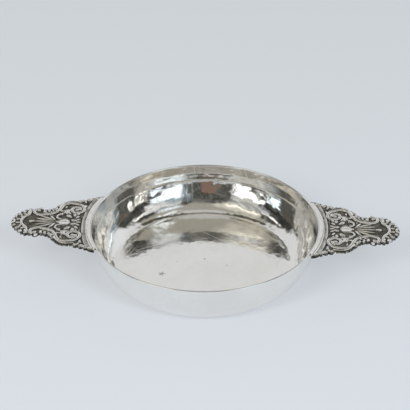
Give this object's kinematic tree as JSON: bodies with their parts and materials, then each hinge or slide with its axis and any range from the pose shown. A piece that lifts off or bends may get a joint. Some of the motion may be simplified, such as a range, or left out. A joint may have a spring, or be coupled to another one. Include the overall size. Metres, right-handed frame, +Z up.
{
  "type": "ecuelle",
  "caption": "Shallow round silver porringer with a low domed floor, a flared lip and two flat cast ears pierced and carved with scrolls, leaves and shells.",
  "frame": {"origin": "centre of the ring that the bowl stands on, at the height of the table", "axes": "+X along the right ear, +Y away from the viewer, +Z up along the bowl's axis"},
  "size_m": [0.2964, 0.175, 0.036],
  "materials": {
    "bowl_silver": "hand hammered, polished, finely scratched by use",
    "ear_silver": "cast and chased, bright on the relief, dark tarnish in the ground",
    "solder": "hard silver solder, filed and left dull"
  },
  "bodies": {
    "root": {"bowl": "bowl_silver", "ear_left": "ear_silver", "ear_right": "ear_silver", "solder_seam_left": "solder", "solder_seam_right": "solder"}
  },
  "joints": []
}
